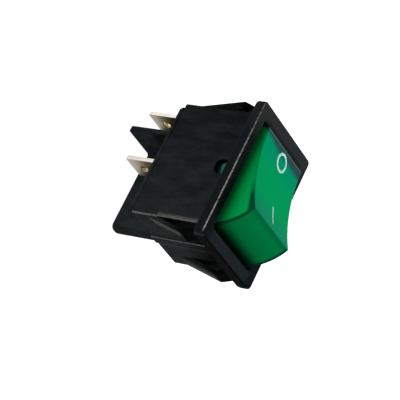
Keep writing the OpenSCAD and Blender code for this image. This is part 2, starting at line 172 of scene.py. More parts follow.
def combined(bm, operation, tools):
    """A shape with others added to it (UNION) or cut out of it (DIFFERENCE)."""
    shapes = []
    for shape in [bm] + tools:
        mesh = bpy.data.meshes.new("shape")
        shape.to_mesh(mesh)
        shape.free()
        shapes.append(bpy.data.objects.new("shape", mesh))
        bpy.context.scene.collection.objects.link(shapes[-1])
    for tool in shapes[1:]:
        step = shapes[0].modifiers.new("step", "BOOLEAN")
        step.operation = operation
        step.solver = "EXACT"
        step.object = tool
    result = bmesh.new()
    result.from_object(shapes[0], bpy.context.evaluated_depsgraph_get())
    for shape in shapes:
        mesh = shape.data
        bpy.data.objects.remove(shape)
        bpy.data.meshes.remove(mesh)
    return result


def placed(bm, name, body, *nodes, smooth=50):
    """The finished mesh as a smooth-shaded piece that rides on a body, in place of any CAD nodes named."""
    bmesh.ops.dissolve_degenerate(bm, dist=NO_SIZE, edges=bm.edges)
    bmesh.ops.scale(bm, vec=(MM, MM, MM), verts=bm.verts)
    mesh = bpy.data.meshes.new(name)
    bm.to_mesh(mesh)
    bm.free()
    mesh.shade_smooth()
    mesh.set_sharp_from_angle(angle=math.radians(smooth))
    piece = bpy.data.objects.new(name, mesh)
    bpy.context.scene.collection.objects.link(piece)
    piece.modifiers.new("flat_faces_stay_flat", "WEIGHTED_NORMAL").keep_sharp = True
    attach(piece, body)
    if nodes:
        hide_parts(*nodes)
    return piece


def linear(hex_colour):
    """An sRGB hex colour as linear RGBA."""
    parts = [int(hex_colour[i:i + 2], 16) / 255 for i in (0, 2, 4)]
    return tuple(c / 12.92 if c <= 0.04045 else ((c + 0.055) / 1.055) ** 2.4 for c in parts) + (1.0,)


def add(tree, kind, sockets, **settings):
    """Adds one shader node, with its settings, values and links."""
    node = tree.nodes.new("ShaderNode" + kind)
    for setting, value in settings.items():
        setattr(node, setting, value)
    for socket, value in sockets.items():
        if isinstance(value, bpy.types.NodeSocket):
            tree.links.new(value, node.inputs[socket])
        else:
            node.inputs[socket].default_value = value
    return node


def started(name):
    """A new material and its node tree, emptied, with its Object coordinates."""
    material = bpy.data.materials.new(name)
    material.use_nodes = True
    tree = material.node_tree
    tree.nodes.clear()
    return material, tree, add(tree, "TexCoord", {}).outputs["Object"]


def housing_shell():
    """The bezel and body as one tube: its outlines follow the wall all round, from the bezel's underside.
    They are drawn one above another and bridged, and then each is moved to its own height."""
    under = (BEZEL[0] - 2 * BEZEL_UNDERCUT, BEZEL[1])
    mouth = (WINDOW[0] + 2 * WINDOW_CHAMFER, WINDOW[1] + 2 * WINDOW_CHAMFER)
    wall = [(under, BEZEL_CORNER, 0), (BEZEL, BEZEL_CORNER, BEZEL_UNDERCUT),
            (BEZEL, BEZEL_CORNER, BEZEL_FRONT),
            (mouth, WINDOW_CORNER + WINDOW_CHAMFER, BEZEL_FRONT),
            (WINDOW, WINDOW_CORNER, BEZEL_FRONT - WINDOW_CHAMFER), (WINDOW, WINDOW_CORNER, CAVITY_STEP),
            (CAVITY, WINDOW_CORNER, CAVITY_STEP), (CAVITY, WINDOW_CORNER, BODY_BACK),
            (BODY, BODY_CORNER, BODY_BACK), (BODY, BODY_CORNER, 0)]
    bm = bmesh.new()
    loops = [outline(bm, size, corner, apart) for apart, (size, corner, _) in enumerate(wall)]
    for start, end in zip(loops, loops[1:] + loops[:1]):
        bmesh.ops.bridge_loops(bm, edges=start + end)
    for loop, (_, _, height) in zip(loops, wall):
        for vert in {v for e in loop for v in e.verts}:
            vert.co.z = height
    bmesh.ops.recalc_face_normals(bm, faces=bm.faces)
    seat, lip, front, outer, inner, back = (loops[i] for i in (0, 1, 2, 3, 4, 8))
    rounded(bm, front, BEZEL_EDGE, CORNER_STEPS)
    rounded(bm, [e for e in seat + lip + outer + inner + back if e.calc_face_angle() > FLAT_EDGE], MOULD_EDGE)
    return bm


def wing(side, end):
    """One spring tongue, which leans out from its root to its tip and turns back in to its free end."""
    root = WING_ROOT[1] + (WING_SUNK - WING_ROOT[0]) / WING_LEAN
    crook = WING_CROOK + (WING_SUNK - RELIEF_Y) / WING_LEAN
    section = [(WING_SUNK, root), WING_TIP, WING_END, (WING_END[0] - WING_THICK, WING_END[1]),
               (WING_TIP[0] - WING_THICK, WING_TIP[1]), (WING_SUNK, crook)]
    bm = bmesh.new()
    bm.faces.new([bm.verts.new((WING_OUTER - WING_WIDTH, y, z)) for y, z in section])
    drawn_out(bm, bm.faces[:], WING_WIDTH)
    bmesh.ops.scale(bm, vec=(side, end, 1), verts=bm.verts)
    bmesh.ops.recalc_face_normals(bm, faces=bm.faces)
    clear = [e for e in bm.edges if max(abs(v.co.y) for v in e.verts) > RELIEF_Y + WING_FOOT]
    rounded(bm, clear, MOULD_EDGE)
    return bm


def nylon_tone(tree, at, across, along, streaks):
    """The body's colour under the painted highlights: streaky on open sides, with painted shade to the off
    end and in sheltered places.
    """
    # Streaks along the draw, with painted shade that darkens them towards the off end.
    streaks_and_painted_shade = add(tree, "Math", {0: at.outputs["Y"], 1: -0.1 / (BODY[1] / 2 * MM), 2: streaks.outputs["Fac"]},
                  operation="MULTIPLY_ADD")
    open_tone = add(tree, "ValToRGB", {"Fac": streaks_and_painted_shade.outputs[0]})
    open_tone.color_ramp.elements[0].position = 0.3
    open_tone.color_ramp.elements[0].color = linear("171c1d")
    open_tone.color_ramp.elements[1].position = 0.7
    open_tone.color_ramp.elements[1].color = linear("2b3030")
    outside = add(tree, "MapRange", {"Value": across.outputs[0], "From Min": (BODY[0] / 2 - 0.3) * MM,
                                     "From Max": (BODY[0] / 2 - 0.1) * MM})
    end_face = add(tree, "MapRange", {"Value": along.outputs[0], "From Min": (RELIEF_Y + 0.05) * MM,
                                      "From Max": (BODY[1] / 2 - 0.05) * MM})
    # Painted shade: the end walls darken towards the bezel.
    under_bezel = add(tree, "MapRange", {"Value": at.outputs["Z"], "From Min": WING_TIP[1] * MM,
                                         "From Max": WING_CROOK * MM})
    end_wall = add(tree, "Math", {0: end_face.outputs[0], 1: under_bezel.outputs[0]}, operation="MULTIPLY")
    outer_wall = add(tree, "Math", {0: outside.outputs[0], 1: end_wall.outputs[0]}, operation="MAXIMUM")
    # Painted shade in the pocket between the tabs, near the base.
    pocket = add(tree, "MapRange", {"Value": at.outputs["Y"], "From Min": -1 * MM, "From Max": 1 * MM,
                                    "To Max": 4.5 * MM})
    sunk = add(tree, "Math", {0: at.outputs["Z"], 1: pocket.outputs[0]}, operation="ADD")
    behind = add(tree, "MapRange", {"Value": sunk.outputs[0], "From Min": BODY_BACK * MM,
                                    "From Max": (BODY_BACK - 1.5) * MM})
    outside_painted_shade = add(tree, "Math", {0: outer_wall.outputs[0], 1: behind.outputs[0]}, operation="MAXIMUM")
    # Sheltered places take a near-black painted shade.
    body_tone = add(tree, "MixRGB", {"Fac": outside_painted_shade.outputs[0], "Color1": linear("050809"),
                                     "Color2": open_tone.outputs["Color"]})
    return body_tone.outputs["Color"]


def bezel_tone(tree, at, across, along, body_tone):
    """The bezel's colour over the body's: a painted sheen greys the off end, and painted shade darkens the
    two long strips.
    """
    by_window = add(tree, "MapRange", {"Value": across.outputs[0], "From Min": (WINDOW[0] / 2 - 0.6) * MM,
                                       "From Max": (WINDOW[0] / 2 + 0.9) * MM})
    on_front = add(tree, "MapRange", {"Value": across.outputs[0], "From Min": (BEZEL[0] / 2 - 0.1) * MM,
                                      "From Max": (BEZEL[0] / 2 - 0.5) * MM})
    # Painted shade darkens the two long strips beside the window.
    painted_shade_long_sides = add(tree, "Math", {0: by_window.outputs[0], 1: on_front.outputs[0]}, operation="MULTIPLY")
    near_tone = add(tree, "MixRGB", {"Fac": painted_shade_long_sides.outputs[0], "Color1": linear("1b2022"),
                                     "Color2": linear("101414")})
    # A painted sheen makes the off end greyer.
    painted_sheen_off_end = add(tree, "MapRange", {"Value": at.outputs["Y"], "From Min": 7 * MM, "From Max": 13 * MM})
    front = add(tree, "MixRGB", {"Fac": painted_sheen_off_end.outputs[0], "Color1": near_tone.outputs["Color"],
                                 "Color2": linear("292a2b")})
    before = add(tree, "MapRange", {"Value": at.outputs["Z"], "From Min": 0, "From Max": BEZEL_UNDERCUT * MM})
    bezel_face = add(tree, "MapRange", {"Value": along.outputs[0], "From Min": (BEZEL[1] / 2 - 0.1) * MM,
                                        "From Max": (BEZEL[1] / 2 - 0.3) * MM})
    on_bezel = add(tree, "Math", {0: before.outputs[0], 1: bezel_face.outputs[0]}, operation="MULTIPLY")
    tone = add(tree, "MixRGB", {"Fac": on_bezel.outputs[0], "Color1": body_tone,
                                "Color2": front.outputs["Color"]})
    return tone.outputs["Color"]


def bezel_painted_highlight(tree, at, across, grit):
    """A painted highlight along the bezel's long front edges, in broken lines, strongest at the on end."""
    from_side = add(tree, "Math", {0: BEZEL[0] / 2 * MM, 1: across.outputs[0]}, operation="SUBTRACT")
    from_front = add(tree, "Math", {0: BEZEL_FRONT * MM, 1: at.outputs["Z"]}, operation="SUBTRACT")
    from_edge = add(tree, "Math", {0: from_side.outputs[0], 1: from_front.outputs[0]}, operation="MAXIMUM")
    edge = add(tree, "MapRange", {"Value": from_edge.outputs[0], "From Min": 0.3 * MM, "From Max": 0.16 * MM})
    broken = add(tree, "MapRange", {"Value": grit.outputs["Fac"], "From Min": 0.36, "From Max": 0.58,
                                    "To Min": 0.15})
    highlight_towards_on_end = add(tree, "MapRange", {"Value": at.outputs["Y"], "From Min": 14 * MM, "From Max": -2 * MM,
                                     "To Min": 0.35})
    most = add(tree, "Math", {0: edge.outputs[0], 1: highlight_towards_on_end.outputs[0]}, operation="MULTIPLY")
    painted_edge_highlight = add(tree, "Math", {0: most.outputs[0], 1: broken.outputs[0]}, operation="MULTIPLY")
    return painted_edge_highlight.outputs[0]


def body_painted_highlight(tree, at, across, grit):
    """A painted highlight on the body's corners and ribs at the on end, in patches."""
    corner_x = add(tree, "Math", {0: across.outputs[0], 1: BODY[0] / 2 * MM, 2: 0.3 * MM},
                   operation="COMPARE")
    by_wing = add(tree, "Math", {0: at.outputs["Z"], 1: WING_CROOK * MM}, operation="GREATER_THAN")
    lip = add(tree, "MapRange", {"Value": by_wing.outputs[0], "To Min": -(BODY[1] / 2 - 0.35) * MM,
                                 "To Max": -(BODY[1] / 2 - 1.1) * MM})
    corner_y = add(tree, "MapRange", {"Value": at.outputs["Y"], "From Min": lip.outputs[0],
                                      "From Max": -(BODY[1] / 2 - 0.3) * MM})
    corner = add(tree, "Math", {0: corner_x.outputs[0], 1: corner_y.outputs[0]}, operation="MULTIPLY")
    rib_x = add(tree, "Math", {0: across.outputs[0], 1: RIB_WIDTH / 2 * MM, 2: 0.15 * MM},
                operation="COMPARE")
    rib_y = add(tree, "Math", {0: at.outputs["Y"], 1: -RIB_OUTER * MM, 2: 0.2 * MM}, operation="COMPARE")
    rib = add(tree, "Math", {0: rib_x.outputs[0], 1: rib_y.outputs[0]}, operation="MULTIPLY")
    outer_edges = add(tree, "Math", {0: corner.outputs[0], 1: rib.outputs[0]}, operation="MAXIMUM")
    on_body = add(tree, "Math", {0: at.outputs["Z"], 1: 0}, operation="LESS_THAN")
    body_edges = add(tree, "Math", {0: outer_edges.outputs[0], 1: on_body.outputs[0]}, operation="MULTIPLY")
    patchy = add(tree, "MapRange", {"Value": grit.outputs["Fac"], "From Min": 0.3, "From Max": 0.55,
                                    "To Min": 0.5})
    wear_and_painted_highlight = add(tree, "Math", {0: body_edges.outputs[0], 1: patchy.outputs[0]}, operation="MULTIPLY")
    return wear_and_painted_highlight.outputs[0]


def wing_painted_highlight(tree, at, across, along):
    """A painted highlight on the wings' outer faces, below their tips and strongest along their outer edges.
    """
    on_wing = add(tree, "MapRange", {"Value": along.outputs[0], "From Min": (BODY[1] / 2 + 0.1) * MM,
                                     "From Max": (BODY[1] / 2 + 0.5) * MM})
    wing_edge = add(tree, "MapRange", {"Value": across.outputs[0], "From Min": (WING_OUTER - 2.4) * MM,
                                       "From Max": (WING_OUTER - 0.9) * MM, "To Max": 0.4})
    wing_face = add(tree, "MapRange", {"Value": across.outputs[0], "From Min": (WING_OUTER - 0.05) * MM,
                                       "From Max": (WING_OUTER - 0.25) * MM})
    below_tip = add(tree, "MapRange", {"Value": at.outputs["Z"], "From Min": WING_TIP[1] * MM,
                                       "From Max": (WING_TIP[1] - 1) * MM})
    highlight_by_wing_edge = add(tree, "Math", {0: on_wing.outputs[0], 1: wing_edge.outputs[0]}, operation="MULTIPLY")
    on_face = add(tree, "Math", {0: wing_face.outputs[0], 1: below_tip.outputs[0]}, operation="MULTIPLY")
    painted_wing_highlight = add(tree, "Math", {0: highlight_by_wing_edge.outputs[0], 1: on_face.outputs[0]}, operation="MULTIPLY")
    return painted_wing_highlight.outputs[0]


def black_nylon():
    """Moulded glass-filled nylon: near black and matt, with a fine eroded grain and streaks along the draw.
    Painted shade makes sheltered places, such as the reliefs behind the wings, darker than open sides and the
    bezel.
    Painted highlights lie pale on the bezel's long front edges, the body's corners, the ribs and the wings."""
    material, tree, place = started("moulded_black_nylon")
    grit = add(tree, "TexNoise", {"Vector": place, "Scale": 1 / (0.35 * MM), "Detail": 3.0})
    draw = add(tree, "Mapping", {"Vector": place, "Scale": (1.0, 1.0, 0.45)})
    streaks = add(tree, "TexNoise", {"Vector": draw.outputs["Vector"], "Scale": 1 / (2.5 * MM), "Detail": 6.0,
                                     "Roughness": 0.65})
    at = add(tree, "SeparateXYZ", {"Vector": place})
    across = add(tree, "Math", {0: at.outputs["X"]}, operation="ABSOLUTE")
    along = add(tree, "Math", {0: at.outputs["Y"]}, operation="ABSOLUTE")
    body_tone = nylon_tone(tree, at, across, along, streaks)
    tone = bezel_tone(tree, at, across, along, body_tone)
    wear_and_painted_highlight = body_painted_highlight(tree, at, across, grit)
    painted_wing_highlight = wing_painted_highlight(tree, at, across, along)
    painted_edge_highlight = bezel_painted_highlight(tree, at, across, grit)
    painted_highlights = add(tree, "Math", {0: wear_and_painted_highlight, 1: painted_wing_highlight}, operation="MAXIMUM")
    # Pale painted highlights on the body's corners, the ribs and the wings.
    painted_highlit = add(tree, "MixRGB", {"Fac": painted_highlights.outputs[0], "Color1": tone, "Color2": linear("6e716b")})
    # A pale painted highlight along the bezel's long front edges.
    colour = add(tree, "MixRGB", {"Fac": painted_edge_highlight, "Color1": painted_highlit.outputs["Color"],
                                  "Color2": linear("b4b3ac")})
    sheen = add(tree, "MapRange", {"Value": streaks.outputs["Fac"], "To Min": 0.75, "To Max": 0.55})
    grain = add(tree, "Bump", {"Height": grit.outputs["Fac"], "Strength": 0.25, "Distance": 0.03 * MM})
    shader = add(tree, "BsdfPrincipled", {
        "Base Color": colour.outputs["Color"], "Roughness": sheen.outputs["Result"], "IOR": 1.53,
        "Specular IOR Level": 0.006, "Normal": grain.outputs["Normal"]})
    add(tree, "OutputMaterial", {"Surface": shader.outputs["BSDF"]})
    return material


reliefs = []
ribs = []
wings = []
for end in (-1, 1):
    ribs.append(block((-RIB_WIDTH / 2, min(end * RIB_OUTER, end * RIB_ROOT), RIB_BACK),
                      (RIB_WIDTH / 2, max(end * RIB_OUTER, end * RIB_ROOT), RIB_SUNK), MOULD_EDGE))
    for side in (-1, 1):
        wings.append(wing(side, end))
        relief = block((RELIEF_SIDE, RELIEF_Y, WING_CROOK), (BODY[0], BODY[1], RELIEF_TOP))
        bmesh.ops.scale(relief, vec=(side, end, 1), verts=relief.verts)
        bmesh.ops.recalc_face_normals(relief, faces=relief.faces)
        reliefs.append(relief)
past_bezel = BEZEL[0] / 2 + CUT_PAST
pivot_holes = [drum(PIVOT_HOLE, -past_bezel, past_bezel, across=True, z=PIVOT)]
pivot_holes += [drum(PIVOT_LEAD, low, high, across=True, z=PIVOT)
                for low, high in ((-past_bezel, -PIVOT_LEAD_IN), (PIVOT_LEAD_IN, past_bezel))]
shell = combined(housing_shell(), "DIFFERENCE", reliefs + pivot_holes + [block(*LATCH_POCKET)])
shell = combined(shell, "UNION", ribs + wings)
housing = placed(shell, "housing_moulding", "body", "housing")
nylon = black_nylon()
housing.data.materials.append(nylon)

# Base
# Closing moulding with the pole barrier, cross fin and flange, of the same black nylon.
# It snaps into the back of the housing and holds the four terminals in slots.
BASE_EDGE = 0.1
SHARP_EDGE = math.radians(28)
ACUTE_CORNER = math.radians(50)
SEAM = 0.02
FLAT = math.radians(1)


def softened(node, name, radius, steps):
    """A merged copy of a CAD node with its clear outer edges rounded, which takes the node's place."""
    bm = bmesh.new()
    bm.from_mesh(frame["nodes"][node].data)
    bmesh.ops.scale(bm, vec=(1 / MM, 1 / MM, 1 / MM), verts=bm.verts)
    bmesh.ops.remove_doubles(bm, verts=bm.verts, dist=SEAM)
    bmesh.ops.dissolve_limit(bm, angle_limit=FLAT, verts=bm.verts, edges=bm.edges)
    blunt = {v for v in bm.verts if all(c.calc_angle() > ACUTE_CORNER for c in v.link_loops)}
    rounded(bm, [e for e in bm.edges if e.is_manifold and e.is_convex and e.calc_face_angle() > SHARP_EDGE
                 and blunt.issuperset(e.verts)], radius, steps)
    return placed(bm, name, frame["nodes"][node]["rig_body"], node)


base = softened("base", "base_moulding", BASE_EDGE, MOULD_STEPS)
base.data.materials.append(nylon)

# Terminals
# Four push-on tabs stamped from brass strip and tin plated, pressed into slots of the base.
# The stamping leaves rolled edges, and the tin is satin with fine rolling lines along the strip.
STAMPED_EDGE = 0.08
STAMPED_STEPS = 2
TAB_X = 4.6
TAB_HALF = 3.15
TAB_HOLE_Z = -22.6
TAB_HOLE = 1.7


def tinned_brass():
    """Satin tin plate on brass strip: pale at the tip, and browner towards the base, a painted shade.
    The cut edges are painted brightest, as a highlight, and bare brass shows in the punched hole."""
    material, tree, place = started("tinned_brass")
    along = add(tree, "Mapping", {"Vector": place, "Scale": (1.0, 1.0, 0.06)})
    lines = add(tree, "TexNoise", {"Vector": along.outputs["Vector"], "Scale": 1 / (0.12 * MM),
                                   "Detail": 2.0})
    patches = add(tree, "TexNoise", {"Vector": place, "Scale": 1 / (2.5 * MM), "Detail": 5.0,
                                     "Roughness": 0.6})
    at = add(tree, "SeparateXYZ", {"Vector": place})
    # The plate is painted browner towards the base, as shade, with mottled patches.
    painted_shade_to_base = add(tree, "MapRange", {"Value": at.outputs["Z"], "From Min": (TAB_HOLE_Z - 1.8) * MM,
                                    "From Max": (TAB_HOLE_Z + 1.8) * MM})
    mottled = add(tree, "MapRange", {"Value": patches.outputs["Fac"], "From Min": 0.2, "From Max": 0.8,
                                     "To Min": -0.2, "To Max": 0.2})
    mottled_painted_shade = add(tree, "Math", {0: painted_shade_to_base.outputs[0], 1: mottled.outputs[0]}, operation="ADD",
                  use_clamp=True)
    plate = add(tree, "MixRGB", {"Fac": mottled_painted_shade.outputs[0], "Color1": linear("b8b1a1"),
                                 "Color2": linear("77684b")})
    across = add(tree, "Math", {0: at.outputs["X"]}, operation="ABSOLUTE")
    from_middle = add(tree, "Math", {0: across.outputs[0], 1: TAB_X * MM}, operation="SUBTRACT")
    aside = add(tree, "Math", {0: from_middle.outputs[0]}, operation="ABSOLUTE")
    # A painted highlight along the cut edges.
    painted_edge_glint = add(tree, "MapRange", {"Value": aside.outputs[0], "From Min": (TAB_HALF - 0.12) * MM,
                                 "From Max": (TAB_HALF - 0.04) * MM})
    edged = add(tree, "MixRGB", {"Fac": painted_edge_glint.outputs[0], "Color1": plate.outputs["Color"],
                                 "Color2": linear("e9e4d6")})
    below = add(tree, "Math", {0: at.outputs["Z"], 1: TAB_HOLE_Z * MM}, operation="SUBTRACT")
    off = add(tree, "CombineXYZ", {"X": from_middle.outputs[0], "Y": below.outputs[0]})
    out = add(tree, "VectorMath", {0: off.outputs["Vector"]}, operation="LENGTH")
    punched = add(tree, "Math", {0: out.outputs["Value"], 1: (TAB_HOLE / 2 + 0.1) * MM},
                  operation="LESS_THAN")
    colour = add(tree, "MixRGB", {"Fac": punched.outputs[0], "Color1": edged.outputs["Color"],
                                  "Color2": linear("f2dfae")})
    wear_and_painted_highlight = add(tree, "MapRange", {"Value": patches.outputs["Fac"], "From Min": 0.3, "From Max": 0.7,
                                  "To Min": 0.55, "To Max": 0.42})
    gloss = add(tree, "MapRange", {"Value": punched.outputs[0], "To Min": wear_and_painted_highlight.outputs["Result"],
                                   "To Max": 0.3})
    drawn = add(tree, "Bump", {"Height": lines.outputs["Fac"], "Strength": 0.15, "Distance": 0.01 * MM})
    shader = add(tree, "BsdfPrincipled", {
        "Base Color": colour.outputs["Color"], "Metallic": 1.0, "Roughness": gloss.outputs["Result"],
        "Normal": drawn.outputs["Normal"]})
    add(tree, "OutputMaterial", {"Surface": shader.outputs["BSDF"]})
    return material


tin = tinned_brass()
for pole in ("left", "right"):
    for kind in ("common", "load"):
        tab = softened(f"{kind}_terminal_{pole}", f"{kind}_tab_{pole}", STAMPED_EDGE, STAMPED_STEPS)
        tab.data.materials.append(tin)

# Contact sets
# In each pole a copper alloy blade rocks on the common terminal and brings a silver rivet down on another.
# The blade is bent strip with rolling lines, and the rivets are headed from wire and a little tarnished.


def worked_metal(name, dull, bright, line, rough, polished):
    """A rolled or drawn metal: fine lines along the way it was drawn, and patches where it has dulled."""
    material, tree, place = started(name)
    along = add(tree, "Mapping", {"Vector": place, "Scale": (1.0, 1.0, 0.06)})
    lines = add(tree, "TexNoise", {"Vector": along.outputs["Vector"], "Scale": 1 / (line * MM),
                                   "Detail": 2.0})
    patches = add(tree, "TexNoise", {"Vector": place, "Scale": 1 / (2.5 * MM), "Detail": 5.0,
                                     "Roughness": 0.6})
    tone = add(tree, "ValToRGB", {"Fac": patches.outputs["Fac"]})
    tone.color_ramp.elements[0].position = 0.35
    tone.color_ramp.elements[0].color = linear(dull)
    tone.color_ramp.elements[1].position = 0.65
    tone.color_ramp.elements[1].color = linear(bright)
    gloss = add(tree, "MapRange", {"Value": patches.outputs["Fac"], "From Min": 0.3, "From Max": 0.7,
                                   "To Min": rough, "To Max": polished})
    drawn = add(tree, "Bump", {"Height": lines.outputs["Fac"], "Strength": 0.15, "Distance": 0.01 * MM})
    shader = add(tree, "BsdfPrincipled", {
        "Base Color": tone.outputs["Color"], "Metallic": 1.0, "Roughness": gloss.outputs["Result"],
        "Normal": drawn.outputs["Normal"]})
    add(tree, "OutputMaterial", {"Surface": shader.outputs["BSDF"]})
    return material


copper = worked_metal("copper_strip", "a8693f", "c98a5c", line=0.1, rough=0.4, polished=0.25)
silver = worked_metal("silver_contact", "b9b6ae", "e2e1dc", line=0.2, rough=0.35, polished=0.15)
for pole in ("left", "right"):
    for node, metal in (("contact_blade", copper), ("moving_contact", silver), ("fixed_contact", silver)):
        frame["nodes"][f"{node}_{pole}"].material_slots[0].material = metal

# Lamp
# A neon bulb of clear drawn glass with two nickel electrodes stands in the base's well under the rocker.
# Its tinned wires run to the two load terminals, one of them through a lacquered resistor.
RESISTOR_Y = 5.6
RESISTOR_HALF = 2.01


def lamp_glass():
    """Drawn soda glass: clear, with a faint grey film from the electrodes in patches."""
    material, tree, place = started("drawn_glass")
    film = add(tree, "TexNoise", {"Vector": place, "Scale": 1 / (3 * MM), "Detail": 3.0})
    tone = add(tree, "ValToRGB", {"Fac": film.outputs["Fac"]})
    tone.color_ramp.elements[0].position = 0.4
    tone.color_ramp.elements[0].color = linear("f2f5f4")
    tone.color_ramp.elements[1].position = 0.75
    tone.color_ramp.elements[1].color = linear("c4c6c2")
    haze = add(tree, "MapRange", {"Value": film.outputs["Fac"], "From Min": 0.4, "From Max": 0.75,
                                  "To Min": 0.02, "To Max": 0.15})
    shader = add(tree, "BsdfPrincipled", {
        "Base Color": tone.outputs["Color"], "Roughness": haze.outputs["Result"], "IOR": 1.5,
        "Transmission Weight": 1.0})
    add(tree, "OutputMaterial", {"Surface": shader.outputs["BSDF"]})
    return material


def lacquered_resistor():
    """Dipped tan lacquer with uneven colour over the resistor's rod, and bare tinned wire beyond its ends."""
    material, tree, place = started("tan_lacquer_and_tinned_wire")
    runs = add(tree, "TexNoise", {"Vector": place, "Scale": 1 / (0.8 * MM), "Detail": 3.0})
    coat = add(tree, "ValToRGB", {"Fac": runs.outputs["Fac"]})
    coat.color_ramp.elements[0].position = 0.3
    coat.color_ramp.elements[0].color = linear("a88a5c")
    coat.color_ramp.elements[1].position = 0.7
    coat.color_ramp.elements[1].color = linear("cdb283")
    at = add(tree, "SeparateXYZ", {"Vector": place})
    off = add(tree, "Math", {0: at.outputs["Y"], 1: RESISTOR_Y * MM}, operation="SUBTRACT")
    away = add(tree, "Math", {0: off.outputs[0]}, operation="ABSOLUTE")
    bare = add(tree, "Math", {0: away.outputs[0], 1: RESISTOR_HALF * MM}, operation="GREATER_THAN")
    colour = add(tree, "MixRGB", {"Fac": bare.outputs[0], "Color1": coat.outputs["Color"],
                                  "Color2": linear("c9c8c4")})
    gloss = add(tree, "MapRange", {"Value": runs.outputs["Fac"], "To Min": 0.22, "To Max": 0.35})
    shader = add(tree, "BsdfPrincipled", {
        "Base Color": colour.outputs["Color"], "Metallic": bare.outputs[0],
        "Roughness": gloss.outputs["Result"]})
    add(tree, "OutputMaterial", {"Surface": shader.outputs["BSDF"]})
    return material


frame["nodes"]["lamp_bulb"].material_slots[0].material = lamp_glass()
frame["nodes"]["lamp_electrodes"].material_slots[0].material = worked_metal(
    "nickel_wire", "9b9890", "c2bfb6", line=0.1, rough=0.4, polished=0.25)
frame["nodes"]["lamp_lead_left"].material_slots[0].material = worked_metal(
    "tinned_wire", "b4b3af", "d4d3cf", line=0.1, rough=0.4, polished=0.25)
frame["nodes"]["lamp_resistor"].material_slots[0].material = lacquered_resistor()

# Rocker
# One translucent green polycarbonate moulding with a dished top, from a polished mould.
# It turns on two trunnions in the housing's side walls, and two posts inside it guide the plungers.
ROCKER_WIDTH = 15.5
ROCKER_RADIUS = 12.0
ROCKER_TIP = 9.1
ROCKER_SAG = 1.1
ROCKER_SKIRT = 2.2
ROCKER_WALL = 1.1
ROCKER_TOP = 1.2
ROCKER_EDGE = 0.2
ROCKER_EDGE_STEPS = 4
ROCKER_TILT = math.radians(-16.5)
ROCKER_STEPS = 24
TRUNNION = 2.8
TRUNNION_END = 8.6
POST = 3.5
POST_BORE = 2.3
POST_X = 4.6
POST_END = -3.5
BORE_TOP = 3.0
DISH_RADIUS = (ROCKER_TIP ** 2 + ROCKER_SAG ** 2) / (2 * ROCKER_SAG)
DISH_AXIS = math.sqrt(ROCKER_RADIUS ** 2 - ROCKER_TIP ** 2) - ROCKER_SAG + DISH_RADIUS


def dished_block(wall, top, skirt):
    """The rocker's form, set in by a wall and a top.
    Its ends are turned about the pivot, and its top about the dish's axis."""
    radius = ROCKER_RADIUS - wall
    dish = DISH_RADIUS + top
    tip_z = (radius ** 2 - dish ** 2 + DISH_AXIS ** 2) / (2 * DISH_AXIS)
    tip = math.asin(tip_z / radius)
    low = math.asin(-skirt / radius)
    reach = math.acos((DISH_AXIS - tip_z) / dish)
    half = ROCKER_WIDTH / 2 - wall
    bm = bmesh.new()
    last = bm.verts.new((-half, radius * math.cos(low), radius * math.sin(low)))
    for centre, angle in ((0, tip - low), (DISH_AXIS, -2 * reach), (0, tip - low)):
        turned = bmesh.ops.spin(bm, geom=[last], cent=(0, 0, centre), axis=(1, 0, 0), angle=angle,
                                steps=ROCKER_STEPS)
        last = [v for v in turned["geom_last"] if isinstance(v, bmesh.types.BMVert)][0]
    bm.verts.ensure_lookup_table()
    bm.edges.new((bm.verts[0], last))
    side = bmesh.ops.contextual_create(bm, geom=bm.edges[:])["faces"]
    drawn_out(bm, side, 2 * half)
    bmesh.ops.recalc_face_normals(bm, faces=bm.faces)
    return bm


def top_tone(tree, at, clouds):
    """The dished top: even green, bluer at both ends, with a grey band of painted reflection and shade and a
    painted highlight on the edge at the off end.
    """
    along = add(tree, "MapRange", {"Value": at.outputs["Y"], "From Min": -ROCKER_TIP * MM,
                                   "From Max": ROCKER_TIP * MM})
    wander = add(tree, "MapRange", {"Value": clouds.outputs["Fac"], "To Min": -0.04, "To Max": 0.04})
    wandering = add(tree, "Math", {0: along.outputs[0], 1: wander.outputs[0]}, operation="ADD")
    skewed = add(tree, "Math", {0: at.outputs["X"], 1: 0.03 / (ROCKER_WIDTH / 2 * MM),
                                2: wandering.outputs[0]}, operation="MULTIPLY_ADD")
    top = add(tree, "ValToRGB", {"Fac": skewed.outputs[0]})
    stops = top.color_ramp.elements
    stops[0].position = 0.0
    stops[0].color = linear("007a59")
    stops[1].position = 0.3
    stops[1].color = linear("008f53")
    # The last two stops paint a grey band of reflection and shade at the off end.
    for position, colour in ((0.6, "008f53"), (0.88, "008560"), (0.945, "1d4a4a"), (1.0, "353f45")):
        stop = stops.new(position)
        stop.color = linear(colour)
    # A painted highlight on the top's edge at the off end.
    at_edge = add(tree, "MapRange", {"Value": at.outputs["Y"], "From Min": (ROCKER_TIP - 0.35) * MM,
                                     "From Max": (ROCKER_TIP - 0.15) * MM})
    painted_tip_highlight = add(tree, "MixRGB", {"Fac": at_edge.outputs[0], "Color1": top.outputs["Color"],
                                    "Color2": linear("486462")})
    return painted_tip_highlight.outputs["Color"]


